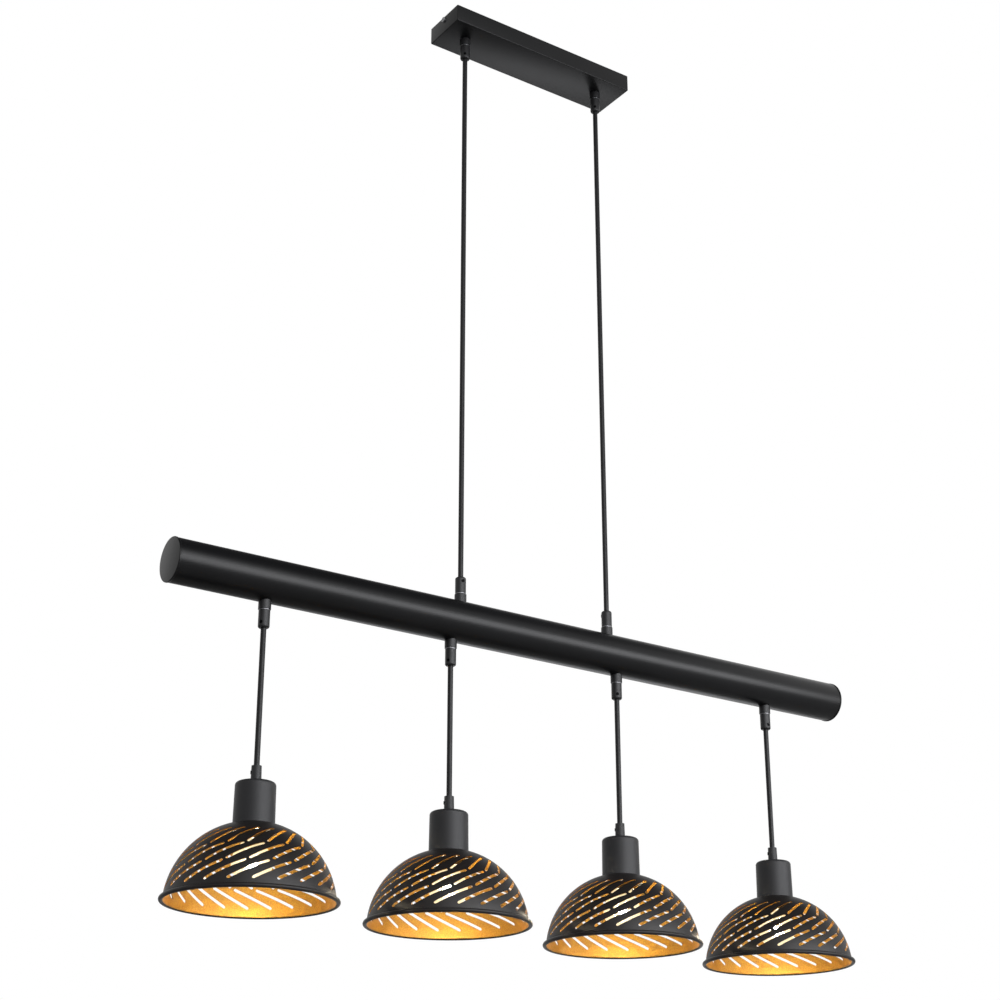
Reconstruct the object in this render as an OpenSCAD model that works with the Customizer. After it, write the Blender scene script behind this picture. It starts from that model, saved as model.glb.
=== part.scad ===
// Bar pendant lamp for over a table: ceiling canopy, two suspension cords, a round bar
// and four slotted dome shades on short cords. Millimetres, +Z up, X along the bar.
// The origin is on the ceiling, at the centre of the bracket's screw pattern.

/* [Canopy] */
// Length of the ceiling canopy, along the bar
canopy_length = 296; // [270:1:360]
// Width of the ceiling canopy
canopy_width = 68; // [56:1:90]
// Height of the ceiling canopy
canopy_height = 25; // [24:0.5:40]
// Thickness of the canopy's sheet
canopy_sheet = 1.5; // [1:0.1:2]
// Distance between the two ceiling screws
ceiling_screw_spacing = 120; // [80:1:160]

/* [Suspension] */
// Distance between the two suspension cords
suspension_spacing = 226; // [180:1:240]
// Depth of the bar's axis below the ceiling
bar_drop = 878; // [500:1:1400]
// Diameter of all the cords
cord_diameter = 6.6; // [5.6:0.1:6.8]

/* [Bar] */
// Length of the bar over its end caps
bar_length = 1000; // [900:1:1200]
// Diameter of the bar
bar_diameter = 52; // [44:0.5:60]
// Wall thickness of the bar
bar_wall = 1.5; // [1:0.1:2.5]

/* [Pendants] */
// Distance from one pendant to the next
pendant_spacing = 253; // [225:1:280]
// Depth of the shade's rim below the bar's axis
rim_drop = 366; // [300:1:500]
// Diameter of the round cap over the lampholder
cap_diameter = 46.4; // [44:0.1:48]
// Height of that cap
cap_height = 47; // [42:0.5:58]

/* [Shade] */
// Diameter of the shade over its rolled rim
shade_diameter = 194.4; // [176:0.2:206]
// Depth of the dome's own centre below the rim
dome_centre_drop = 7.7; // [4:0.1:12]
// Sheet thickness of the shade
shade_sheet = 1; // [0.8:0.1:1.2]
// Diameter of the rolled rim
rim_roll = 5; // [4:0.1:6]
// Diagonal lines of slots round the shade
slot_lines = 22; // [16:1:24]
// Width of a slot
slot_width = 3.2; // [2.4:0.1:3.6]

/* [Bulb] */
// Diameter of the bulb's glass
bulb_diameter = 45; // [40:0.5:50]

/* [Hidden] */
$fn = 72;
pendant_count = 4;
z_bar = -bar_drop;
bar_r = bar_diameter / 2;
tube_end = 2.2;
cord_r = cord_diameter / 2;
cord_sides = 10;
cord_step = 32;

// Cord glands: a fixed base with a ball in its cup, and a body that tilts on the ball.
// The body's shoulder and the cup are round about the ball's centre, so the groove between
// base and body stays narrow.
gland_base_r = 7.4;
gland_base_len = 9.6;
gland_groove = 1;
gland_len = 32;
gland_body_r = 6.7;
gland_body_round = 2.4;
ball_r = 4.6;
ball_clear = 0.3;
ball_below_base = 2.4;
ball_depth = gland_base_len + ball_below_base;
ball_neck_r = 2.6;
shoulder_rise = ball_below_base - gland_groove;
shoulder_r = sqrt(gland_body_r * gland_body_r + shoulder_rise * shoulder_rise);
cup_clear = 0.4;
cup_r = shoulder_r + cup_clear;
neck_sweep = 60;
wire_r = 1.7;
spigot_r = 4.9;
spigot_clear = 0.2;
nut_clear = 0.1;
nut_h = 4;
nut_r = 8.6;
cord_clear = 0.15;
cord_seat = 22.5;
gland_screw_depth = 26;
screw_r = 2;
screw_clear = 0.05;
groove_len = 1.2;

// Bracket on the ceiling
bracket_w = 30;
bracket_t = 2;
bracket_flange = 13;
bracket_fit = 0.2;
ceiling_gap = 0.3;
side_screw_z = -5;
side_screw_notch_r = 2.3;
side_screw_head_r = 3.6;
side_screw_head_h = 2.2;
ceiling_hole_r = 2.6;
ceiling_slot_len = 16;
cable_hole_r = 7;
terminal = [32, 18, 13];
terminal_x = 32;

// Pendants
grip_h = 18.6;
grip_r_top = 5.7;
grip_r_base = 6.1;
grip_bore = 11;
grip_screw_proud = 0.6;
cap_r = cap_diameter / 2;
cap_wall = 1.2;
cap_taper = 0.5;
cap_round = 4;
z_rim = z_bar - rim_drop;
z_dome = z_rim - dome_centre_drop;
roll_r = rim_roll / 2;
roll_centre_r = shade_diameter / 2 - roll_r;
wall_r = shade_diameter / 2 - rim_roll + shade_sheet;
dome_r = sqrt(wall_r * wall_r + dome_centre_drop * dome_centre_drop);
flat_r = cap_r + 0.1;
z_flat = z_dome + sqrt(dome_r * dome_r - flat_r * flat_r);
z_cap_top = z_flat + cap_height;
skirt_r = 17.5;
skirt_len = 17;
skirt_bore_r = 14.5;
skirt_clear = 0.3;
socket_depth = 11;
holder_r = 19;
holder_flange_r = cap_r - cap_wall - 0.4;
holder_flange_h = 3;
boss_r = 8;
boss_h = 8;
ring_clear = 0.2;
ring_r = 26;
ring_seat_r = flat_r - 0.9;
ring_seat_h = 1.6;
ring_h = 8;
shell_clear = 0.1;
shell_wall = 0.7;
shell_len = 23;
contact_r = 3.5;
contact_h = 1.2;
contact_gap = 0.15;
bulb_r = bulb_diameter / 2;
bulb_cap_r = 13.1;
bulb_cap_end = -16;
bulb_neck_r = 12.6;
bulb_wall = 1;
bulb_centre = -42;

// Slots: each line climbs the dome in three dashes, from low and high latitude.
slot_rows = [[9.8, 22.6], [23.6, 36.8], [37.8, 55]];
slot_sweep = 28;
slot_bridge = 2.2;
slot_phase = -1.7;
slot_depth = 9;

// Directions that the clamp screws face, in degrees round Z
canopy_screw_dir = [-124, -129];
top_screw_dir = [-98, 141];
drop_screw_dir = [-148, -150, -120, -96];
grip_screw_dir = [153, 150, 147, 144];

black = [0.05, 0.05, 0.055];
dark = [0.09, 0.09, 0.095];
gold = [0.8, 0.55, 0.18];
steel = [0.6, 0.6, 0.62];
brass = [0.75, 0.6, 0.3];
white = [0.9, 0.89, 0.85];
warm = [1, 0.93, 0.8];

// Place of pendant k along the bar, k from 1
function pendant_x(k) = (k - (pendant_count + 1) / 2) * pendant_spacing;
// Places of the two suspension cords
function suspension_x() = [-suspension_spacing / 2, suspension_spacing / 2];

// A round bar of cord from height z1 up to z2 at x, as one swept tube
function cord_levels(z1, z2) = [
    for (i = [0 : ceil((z2 - z1) / cord_step)])
        z1 + (z2 - z1) * i / ceil((z2 - z1) / cord_step)
];
function cord_ring(x, z) = [
    for (s = [0 : cord_sides - 1])
        [x + cord_r * cos(360 * s / cord_sides), cord_r * sin(360 * s / cord_sides), z]
];
function cord_points(x, levels) = [for (z = levels) each cord_ring(x, z)];
function cord_sides_faces(n) = [
    for (i = [0 : n - 2]) for (s = [0 : cord_sides - 1])
        [
            i * cord_sides + s,
            (i + 1) * cord_sides + s,
            (i + 1) * cord_sides + (s + 1) % cord_sides,
            i * cord_sides + (s + 1) % cord_sides
        ]
];
function cord_end_faces(n) = [
    [for (s = [0 : cord_sides - 1]) s],
    [for (s = [cord_sides - 1 : -1 : 0]) (n - 1) * cord_sides + s]
];

module cord_tube(x, z1, z2) {
    levels = cord_levels(z1, z2);
    polyhedron(
        points = cord_points(x, levels),
        faces = concat(cord_sides_faces(len(levels)), cord_end_faces(len(levels)))
    );
}

// A bar along X
module x_cylinder(r, h) {
    rotate([0, 90, 0]) cylinder(r = r, h = h, center = true);
}

// Gland base with its ball, hanging from a seat at z = 0. The tube's axis is at z = saddle.
module gland_base(grip, saddle) {
    difference() {
        union() {
            difference() {
                translate([0, 0, -gland_base_len]) cylinder(r = gland_base_r, h = gland_base_len + (saddle > 0 ? 2 : 0));
                if (saddle > 0) translate([0, 0, saddle]) x_cylinder(saddle, 4 * gland_base_r);
                translate([0, 0, -ball_depth]) sphere(r = cup_r);
            }
            translate([0, 0, -1]) cylinder(r = spigot_r, h = 1 + grip + nut_h + 2);
            translate([0, 0, -ball_depth]) cylinder(r = ball_neck_r, h = cup_r + 1);
            translate([0, 0, -ball_depth]) sphere(r = ball_r);
        }
        translate([0, 0, -ball_depth - ball_r - 1]) cylinder(r = wire_r, h = 80);
    }
}

// Nut on the gland's thread, flat or shaped to the inside of a tube whose axis is at z = saddle
module gland_nut(grip, saddle) {
    difference() {
        intersection() {
            cylinder(r = nut_r, h = grip + nut_h + 1, $fn = 6);
            if (saddle > 0) translate([0, 0, saddle]) x_cylinder(saddle - grip, 4 * nut_r);
            if (saddle == 0) translate([-2 * nut_r, -2 * nut_r, grip]) cube([4 * nut_r, 4 * nut_r, nut_h]);
        }
        translate([0, 0, -1]) cylinder(r = spigot_r + nut_clear, h = grip + nut_h + 3);
    }
}

// Outline of a gland's body from height 0, which has the rounded end, up to h
module gland_outline(h) {
    square([gland_body_r - gland_body_round, h]);
    translate([0, gland_body_round]) square([gland_body_r, h - gland_body_round]);
    translate([gland_body_r - gland_body_round, gland_body_round]) circle(r = gland_body_round);
}

// Hole for the clamp screw, from the axis outwards
module screw_hole(dir, z) {
    translate([0, 0, z]) rotate([0, 90, dir]) cylinder(r = screw_r + screw_clear, h = 20);
}

// Headless clamp screw with a slot, its tip on the cord and its end at radius outer
module clamp_screw(dir, z, outer) {
    translate([0, 0, z]) rotate([0, 90, dir]) difference() {
        translate([0, 0, cord_r + screw_clear]) cylinder(r = screw_r, h = outer - cord_r - screw_clear);
        translate([-4, -0.4, outer - 0.9]) cube([8, 0.8, 2]);
    }
}

// Tilting gland body, hanging from the same seat as its base
module swivel(dir) {
    difference() {
        union() {
            translate([0, 0, -gland_len]) rotate_extrude() gland_outline(gland_len - ball_depth);
            translate([0, 0, -ball_depth]) intersection() {
                sphere(r = shoulder_r);
                translate([0, 0, -1]) cylinder(r = gland_body_r, h = 1 + shoulder_r);
            }
        }
        translate([0, 0, -ball_depth]) sphere(r = ball_r + ball_clear);
        translate([0, 0, -ball_depth]) cylinder(r1 = 0, r2 = cup_r * tan(neck_sweep), h = cup_r);
        translate([0, 0, -cord_seat - 1]) cylinder(r = wire_r + 0.3, h = cord_seat + 1 - ball_depth);
        translate([0, 0, -gland_len - 1]) cylinder(r = cord_r + cord_clear, h = gland_len - cord_seat + 1);
        screw_hole(dir, -gland_screw_depth);
    }
}

// Fixed gland on top of the bar, standing on a seat at z = 0 with the tube's axis at z = -bar_r
module top_gland(dir) {
    difference() {
        union() {
            difference() {
                translate([0, 0, -2]) cylinder(r = gland_base_r, h = gland_base_len + 2);
                translate([0, 0, -bar_r]) x_cylinder(bar_r, 4 * gland_base_r);
            }
            translate([0, 0, -bar_wall - nut_h - 2]) cylinder(r = spigot_r, h = bar_wall + nut_h + 4);
            cylinder(r = gland_body_r - 0.9, h = gland_base_len + groove_len + 1);
            translate([0, 0, gland_len]) mirror([0, 0, 1]) rotate_extrude()
                gland_outline(gland_len - gland_base_len - groove_len);
        }
        translate([0, 0, -30]) cylinder(r = wire_r, h = 60);
        translate([0, 0, cord_seat]) cylinder(r = cord_r + cord_clear, h = 30);
        screw_hole(dir, gland_screw_depth);
    }
}

module ceiling_bracket() {
    half = canopy_length / 2 - canopy_sheet - bracket_fit;
    color(steel) difference() {
        union() {
            translate([-half, -bracket_w / 2, -bracket_t]) cube([2 * half, bracket_w, bracket_t]);
            for (s = [-1, 1])
                translate([s * (half - bracket_t / 2), 0, -bracket_flange / 2])
                    cube([bracket_t, bracket_w, bracket_flange], center = true);
        }
        for (s = [-1, 1]) {
            translate([s * half, 0, side_screw_z]) x_cylinder(screw_r + screw_clear, 10);
            translate([s * ceiling_screw_spacing / 2, 0, -5]) linear_extrude(10) {
                square([ceiling_slot_len - 2 * ceiling_hole_r, 2 * ceiling_hole_r], center = true);
                for (e = [-1, 1])
                    translate([e * (ceiling_slot_len / 2 - ceiling_hole_r), 0]) circle(r = ceiling_hole_r);
            }
        }
        translate([0, 0, -5]) cylinder(r = cable_hole_r, h = 10);
    }
}

module canopy_cover() {
    top = -ceiling_gap;
    color(black) difference() {
        translate([-canopy_length / 2, -canopy_width / 2, -canopy_height])
            cube([canopy_length, canopy_width, canopy_height + top]);
        translate([-canopy_length / 2 + canopy_sheet, -canopy_width / 2 + canopy_sheet, -canopy_height + canopy_sheet])
            cube([canopy_length - 2 * canopy_sheet, canopy_width - 2 * canopy_sheet, canopy_height]);
        for (s = [-1, 1]) {
            translate([s * canopy_length / 2, 0, side_screw_z]) x_cylinder(side_screw_notch_r, 10);
            translate([s * canopy_length / 2, 0, side_screw_z + 5])
                cube([10, 2 * side_screw_notch_r, 10], center = true);
        }
        for (x = suspension_x())
            translate([x, 0, -canopy_height - 1]) cylinder(r = spigot_r + spigot_clear, h = canopy_sheet + 2);
    }
}

module canopy_screws() {
    color(steel) for (s = [-1, 1])
        translate([s * canopy_length / 2, 0, side_screw_z]) rotate([0, s * 90, 0]) difference() {
            union() {
                cylinder(r = side_screw_head_r, h = side_screw_head_h);
                translate([0, 0, -canopy_sheet - bracket_t - 3]) cylinder(r = screw_r, h = canopy_sheet + bracket_t + 4);
            }
            for (a = [0, 90])
                rotate(a) translate([-2.2, -0.5, side_screw_head_h - 1.1]) cube([4.4, 1, 2]);
        }
}

module terminal_block() {
    color(white) translate([terminal_x, 0, -bracket_t - terminal[2] / 2]) difference() {
        cube(terminal, center = true);
        for (i = [-1, 0, 1]) {
            translate([i * 10, 0, -1.5]) rotate([90, 0, 0]) cylinder(r = 2, h = 30, center = true);
            for (y = [-4.5, 4.5])
                translate([i * 10, y, -terminal[2]]) cylinder(r = 1.8, h = terminal[2] - 2);
        }
        for (i = [-5, 5])
            translate([i, 0, -terminal[2] / 2 - 1]) cube([1, 2 * terminal[1], 5], center = true);
    }
}

module canopy_gland_bases() {
    color(black) for (x = suspension_x())
        translate([x, 0, -canopy_height]) gland_base(canopy_sheet, 0);
}

module canopy_gland_nuts() {
    color(steel) for (x = suspension_x())
        translate([x, 0, -canopy_height]) gland_nut(canopy_sheet, 0);
}

module canopy_swivels() {
    color(black) for (i = [0, 1])
        translate([suspension_x()[i], 0, -canopy_height]) swivel(canopy_screw_dir[i]);
}

module canopy_swivel_screws() {
    color(steel) for (i = [0, 1])
        translate([suspension_x()[i], 0, -canopy_height])
            clamp_screw(canopy_screw_dir[i], -gland_screw_depth, gland_body_r - 0.3);
}

module suspension_cord(i) {
    color(dark)
        cord_tube(suspension_x()[i], z_bar + bar_r + cord_seat, -canopy_height - cord_seat);
}

module suspension_cord_left() {
    suspension_cord(0);
}

module suspension_cord_right() {
    suspension_cord(1);
}

module bar_tube() {
    color(black) translate([0, 0, z_bar]) difference() {
        x_cylinder(bar_r, bar_length - 2 * tube_end);
        x_cylinder(bar_r - bar_wall, bar_length + 10);
        for (x = suspension_x())
            translate([x, 0, 0]) cylinder(r = spigot_r + spigot_clear, h = bar_r + 5);
        for (k = [1 : pendant_count])
            translate([pendant_x(k), 0, -bar_r - 5]) cylinder(r = spigot_r + spigot_clear, h = bar_r + 5);
    }
}

module bar_end_caps() {
    flange_r = bar_r + 0.5;
    edge = 0.9;
    color(black) for (s = [-1, 1])
        translate([s * (bar_length / 2 - tube_end), 0, z_bar]) rotate([0, s * 90, 0]) rotate_extrude() {
            square([flange_r - edge, tube_end]);
            square([flange_r, tube_end - edge]);
            translate([flange_r - edge, tube_end - edge]) intersection() {
                circle(r = edge);
                square([edge, edge]);
            }
            translate([bar_r - bar_wall - 2.5, -9]) square([2.4, 10]);
        }
}

module top_glands() {
    color(black) for (i = [0, 1])
        translate([suspension_x()[i], 0, z_bar + bar_r]) top_gland(top_screw_dir[i]);
}

module top_gland_screws() {
    color(steel) for (i = [0, 1])
        translate([suspension_x()[i], 0, z_bar + bar_r])
            clamp_screw(top_screw_dir[i], gland_screw_depth, gland_body_r + 0.4);
}

module drop_gland_bases() {
    color(black) for (k = [1 : pendant_count])
        translate([pendant_x(k), 0, z_bar - bar_r]) gland_base(bar_wall, bar_r);
}

module bar_gland_nuts() {
    color(steel) {
        for (k = [1 : pendant_count])
            translate([pendant_x(k), 0, z_bar - bar_r]) gland_nut(bar_wall, bar_r);
        for (x = suspension_x())
            translate([x, 0, z_bar + bar_r]) mirror([0, 0, 1]) gland_nut(bar_wall, bar_r);
    }
}

module drop_swivel(k) {
    color(black) translate([pendant_x(k), 0, z_bar - bar_r]) swivel(drop_screw_dir[k - 1]);
}

module drop_cord(k) {
    color(dark) cord_tube(pendant_x(k), z_cap_top + grip_h - grip_bore, z_bar - bar_r - cord_seat);
}

module cord_grip(k) {
    color(dark) translate([pendant_x(k), 0, z_cap_top]) difference() {
        union() {
            cylinder(r1 = grip_r_base, r2 = grip_r_top, h = grip_h);
            translate([0, 0, -cap_wall - 6]) cylinder(r = spigot_r, h = cap_wall + 7);
        }
        translate([0, 0, -30]) cylinder(r = wire_r, h = 60);
        translate([0, 0, grip_h - grip_bore]) cylinder(r = cord_r + cord_clear, h = 30);
        screw_hole(grip_screw_dir[k - 1], grip_h - 7.5);
    }
}

module clamp_screws(k) {
    color(steel) {
        translate([pendant_x(k), 0, z_bar - bar_r])
            clamp_screw(drop_screw_dir[k - 1], -gland_screw_depth, gland_body_r - 0.3);
        translate([pendant_x(k), 0, z_cap_top])
            clamp_screw(grip_screw_dir[k - 1], grip_h - 7.5, grip_r_top + 0.2 + grip_screw_proud);
    }
}

module cap_outline(r, h, round) {
    polygon([[0, 0], [r, 0], [r - cap_taper, h - round], [r - cap_taper - round, h], [0, h]]);
    translate([r - cap_taper - round, h - round]) intersection() {
        circle(r = round);
        square([round, round]);
    }
}

module holder_cap(k) {
    color(dark) translate([pendant_x(k), 0, z_flat]) difference() {
        rotate_extrude() cap_outline(cap_r, cap_height, cap_round);
        translate([0, 0, -1]) rotate_extrude()
            cap_outline(cap_r - cap_wall, cap_height - cap_wall + 1, cap_round - cap_wall);
        cylinder(r = spigot_r + spigot_clear, h = cap_height + 1);
    }
}

module lampholder(k) {
    inner_top = cap_height - cap_wall;
    color(black) translate([pendant_x(k), 0, z_flat]) difference() {
        union() {
            cylinder(r = holder_flange_r, h = holder_flange_h);
            cylinder(r = holder_r, h = inner_top - boss_h);
            cylinder(r = boss_r, h = inner_top);
            translate([0, 0, -skirt_len]) cylinder(r = skirt_r, h = skirt_len + 1);
        }
        translate([0, 0, -skirt_len - 1]) cylinder(r = skirt_bore_r, h = skirt_len + 1 + socket_depth);
        translate([0, 0, inner_top - boss_h]) cylinder(r = spigot_r + nut_clear, h = boss_h + 1);
    }
}

module holder_contacts(k) {
    shell_r = skirt_bore_r - shell_clear;
    color(brass) translate([pendant_x(k), 0, z_flat + socket_depth]) {
        translate([0, 0, -shell_len]) difference() {
            cylinder(r = shell_r, h = shell_len);
            translate([0, 0, -1]) cylinder(r = shell_r - shell_wall, h = shell_len + 2);
        }
        translate([0, 0, -contact_h]) cylinder(r = contact_r, h = contact_h);
    }
}

module shade_ring(k) {
    color(black) translate([pendant_x(k), 0, z_flat - shade_sheet - ring_h]) difference() {
        union() {
            cylinder(r = ring_seat_r, h = ring_h);
            cylinder(r = ring_r, h = ring_h - ring_seat_h);
        }
        translate([0, 0, -1]) cylinder(r = skirt_r + ring_clear, h = ring_h + 2);
        for (a = [0 : 30 : 330])
            rotate(a) translate([ring_r + 1.2, 0, -1]) cylinder(r = 2.4, h = ring_h + 2);
    }
}

// One dash, cut along the radius at longitude 0, from latitude low to latitude high
module slot_cut(low, high) {
    mid = (low + high) / 2;
    half = slot_sweep / 2;
    x1 = -dome_r * cos(low) * sin(half);
    y1 = dome_r * (sin(low) * cos(mid) - cos(low) * sin(mid) * cos(half));
    x2 = dome_r * cos(high) * sin(half);
    y2 = dome_r * (sin(high) * cos(mid) - cos(high) * sin(mid) * cos(half));
    run = norm([x2 - x1, y2 - y1]) - slot_width;
    rotate([0, -mid, 0]) translate([dome_r - slot_depth + 2, 0, 0]) rotate([90, 0, 90])
        translate([(x1 + x2) / 2, (y1 + y2) / 2, 0]) rotate(atan2(y2 - y1, x2 - x1)) linear_extrude(slot_depth) {
            square([run, slot_width], center = true);
            for (e = [-1, 1])
                translate([e * run / 2, 0]) circle(d = slot_width, $fn = 24);
        }
}

module shade(k) {
    color(gold) translate([pendant_x(k), 0, z_dome]) difference() {
        union() {
            rotate_extrude() {
                difference() {
                    circle(r = dome_r, $fn = 180);
                    circle(r = dome_r - shade_sheet, $fn = 180);
                    translate([-2 * dome_r, -2 * dome_r]) square([2 * dome_r, 4 * dome_r]);
                    translate([-1, -2 * dome_r]) square([3 * dome_r, 2 * dome_r + dome_centre_drop]);
                    translate([-1, z_flat - z_dome]) square([3 * dome_r, 2 * dome_r]);
                }
                translate([skirt_r + skirt_clear, z_flat - z_dome - shade_sheet])
                    square([flat_r - skirt_r - skirt_clear - 0.2, shade_sheet]);
                translate([roll_centre_r, dome_centre_drop]) circle(r = roll_r);
            }
        }
        for (row = [0 : len(slot_rows) - 1])
            for (i = [0 : slot_lines - 1])
                rotate(slot_phase + slot_sweep / 2 + row * (slot_sweep + slot_bridge) + i * 360 / slot_lines)
                    slot_cut(slot_rows[row][0], slot_rows[row][1]);
    }
}

module bulb_base(k) {
    tip = socket_depth - contact_h - contact_gap;
    color(steel) translate([pendant_x(k), 0, z_flat]) rotate_extrude()
        polygon([
            [0, tip], [4.2, tip], [4.2, tip - 1.2], [9.5, tip - 3.6],
            [bulb_cap_r, tip - 5], [bulb_cap_r, bulb_cap_end], [0, bulb_cap_end]
        ]);
}

module bulb_glass(k) {
    color(warm) translate([pendant_x(k), 0, z_flat]) difference() {
        union() {
            translate([0, 0, bulb_centre]) sphere(r = bulb_r);
            translate([0, 0, bulb_centre]) cylinder(r = bulb_neck_r, h = bulb_cap_end - bulb_centre);
        }
        translate([0, 0, bulb_centre]) sphere(r = bulb_r - bulb_wall);
        translate([0, 0, bulb_centre]) cylinder(r = bulb_neck_r - bulb_wall, h = bulb_cap_end - bulb_centre + 1);
    }
}

ceiling_bracket();
canopy_cover();
canopy_screws();
terminal_block();
canopy_gland_bases();
canopy_gland_nuts();
canopy_swivels();
canopy_swivel_screws();
suspension_cord_left();
suspension_cord_right();
bar_tube();
bar_end_caps();
top_glands();
top_gland_screws();
drop_gland_bases();
bar_gland_nuts();
drop_swivel(1);  // drop_swivel_1
drop_swivel(2);  // drop_swivel_2
drop_swivel(3);  // drop_swivel_3
drop_swivel(4);  // drop_swivel_4
drop_cord(1);  // drop_cord_1
drop_cord(2);  // drop_cord_2
drop_cord(3);  // drop_cord_3
drop_cord(4);  // drop_cord_4
cord_grip(1);  // cord_grip_1
cord_grip(2);  // cord_grip_2
cord_grip(3);  // cord_grip_3
cord_grip(4);  // cord_grip_4
clamp_screws(1);  // clamp_screws_1
clamp_screws(2);  // clamp_screws_2
clamp_screws(3);  // clamp_screws_3
clamp_screws(4);  // clamp_screws_4
holder_cap(1);  // holder_cap_1
holder_cap(2);  // holder_cap_2
holder_cap(3);  // holder_cap_3
holder_cap(4);  // holder_cap_4
lampholder(1);  // lampholder_1
lampholder(2);  // lampholder_2
lampholder(3);  // lampholder_3
lampholder(4);  // lampholder_4
holder_contacts(1);  // holder_contacts_1
holder_contacts(2);  // holder_contacts_2
holder_contacts(3);  // holder_contacts_3
holder_contacts(4);  // holder_contacts_4
shade_ring(1);  // shade_ring_1
shade_ring(2);  // shade_ring_2
shade_ring(3);  // shade_ring_3
shade_ring(4);  // shade_ring_4
shade(1);  // shade_1
shade(2);  // shade_2
shade(3);  // shade_3
shade(4);  // shade_4
bulb_base(1);  // bulb_base_1
bulb_base(2);  // bulb_base_2
bulb_base(3);  // bulb_base_3
bulb_base(4);  // bulb_base_4
bulb_glass(1);  // bulb_glass_1
bulb_glass(2);  // bulb_glass_2
bulb_glass(3);  // bulb_glass_3
bulb_glass(4);  // bulb_glass_4
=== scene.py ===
"""Bar pendant lamp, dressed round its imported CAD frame.

Sizes in the classes are millimetres in the part's own frame, and become metres when a
piece is settled. The studio's sizes are metres. Each sub-assembly is a class that builds
its meshes and dresses them.
"""

import logging
import math
from dataclasses import dataclass, field
from enum import Enum
from typing import Sequence

import bmesh
import bpy
from mathutils import Matrix, Vector


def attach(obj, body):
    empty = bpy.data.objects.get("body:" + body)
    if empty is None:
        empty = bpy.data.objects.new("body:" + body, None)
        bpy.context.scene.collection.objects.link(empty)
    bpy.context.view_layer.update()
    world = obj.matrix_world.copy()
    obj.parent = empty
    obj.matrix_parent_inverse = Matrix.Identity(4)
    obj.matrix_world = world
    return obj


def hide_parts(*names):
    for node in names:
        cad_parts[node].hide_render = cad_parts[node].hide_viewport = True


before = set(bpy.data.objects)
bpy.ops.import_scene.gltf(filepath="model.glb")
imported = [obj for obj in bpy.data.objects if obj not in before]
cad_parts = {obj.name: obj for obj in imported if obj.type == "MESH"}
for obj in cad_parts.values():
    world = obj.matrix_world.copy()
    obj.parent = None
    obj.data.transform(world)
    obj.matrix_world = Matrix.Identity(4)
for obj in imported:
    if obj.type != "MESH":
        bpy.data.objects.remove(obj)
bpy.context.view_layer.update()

Colour = tuple[float, float, float]
Place = tuple[float, float, float]

LOG = logging.getLogger("bar_pendant")
MM = 0.001
ORIGIN: Place = (0.0, 0.0, 0.0)
PATTERN_LOW, PATTERN_HIGH = 0.3, 0.7
CREASE_DEGREES = 35.0
FILLET_STEPS_LEAST = 3
FILLET_STEPS_PER_MM = 2.0
WELD = 1e-4


class NodeBench:
    """Workbench for one material's node tree."""

    def __init__(self, name: str) -> None:
        """Start a material with its Principled shader.

        Args:
            name: name of the material.
        """
        self.material = bpy.data.materials.new(name)
        self.material.use_nodes = True
        self.tree = self.material.node_tree
        self.shader = self.tree.nodes["Principled BSDF"]
        self.coords = self.tree.nodes.new("ShaderNodeTexCoord").outputs["Object"]

    def set(self, **sockets: object) -> None:
        """Set constants on the shader's own sockets, named with _ for spaces.

        Args:
            **sockets: value for each socket.
        """
        for key, value in sockets.items():
            self.shader.inputs[key.replace("_", " ")].default_value = value

    def link(self, source: bpy.types.NodeSocket, target: bpy.types.NodeSocket) -> None:
        """Join two sockets."""
        self.tree.links.new(source, target)

    def noise(self, size: float, detail: float = 2.0) -> bpy.types.NodeSocket:
        """Make a cloudy pattern in the piece's own coordinates.

        Args:
            size: width of one cloud in millimetres.
            detail: octaves of finer cloud.

        Returns:
            The pattern's value, about 0.5 on average.
        """
        pattern = self.tree.nodes.new("ShaderNodeTexNoise")
        pattern.inputs["Scale"].default_value = 1.0 / (size * MM)
        pattern.inputs["Detail"].default_value = detail
        self.link(self.coords, pattern.inputs["Vector"])
        return pattern.outputs["Fac"]

    def spread(self, value: bpy.types.NodeSocket, low: float, high: float) -> bpy.types.NodeSocket:
        """Stretch a pattern's usual values over a range.

        Args:
            value: the pattern.
            low: result where the pattern is low.
            high: result where it is high.

        Returns:
            The value in that range.
        """
        node = self.tree.nodes.new("ShaderNodeMapRange")
        node.inputs["From Min"].default_value = PATTERN_LOW
        node.inputs["From Max"].default_value = PATTERN_HIGH
        node.inputs["To Min"].default_value = low
        node.inputs["To Max"].default_value = high
        self.link(value, node.inputs["Value"])
        return node.outputs["Result"]

    def blend(self, factor: bpy.types.NodeSocket, low: Colour, high: Colour) -> bpy.types.NodeSocket:
        """Mix two colours by a pattern.

        Args:
            factor: 0 for the first colour and 1 for the second.
            low: first colour.
            high: second colour.

        Returns:
            The mixed colour.
        """
        node = self.tree.nodes.new("ShaderNodeMix")
        node.data_type = "RGBA"
        node.inputs["A"].default_value = (*low, 1.0)
        node.inputs["B"].default_value = (*high, 1.0)
        self.link(factor, node.inputs["Factor"])
        return node.outputs["Result"]

    def relief(self, height: bpy.types.NodeSocket, depth: float) -> None:
        """Raise the surface by a pattern.

        Args:
            height: the pattern.
            depth: its depth in millimetres.
        """
        node = self.tree.nodes.new("ShaderNodeBump")
        node.inputs["Distance"].default_value = depth * MM
        self.link(height, node.inputs["Height"])
        self.link(node.outputs["Normal"], self.shader.inputs["Normal"])


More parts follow.
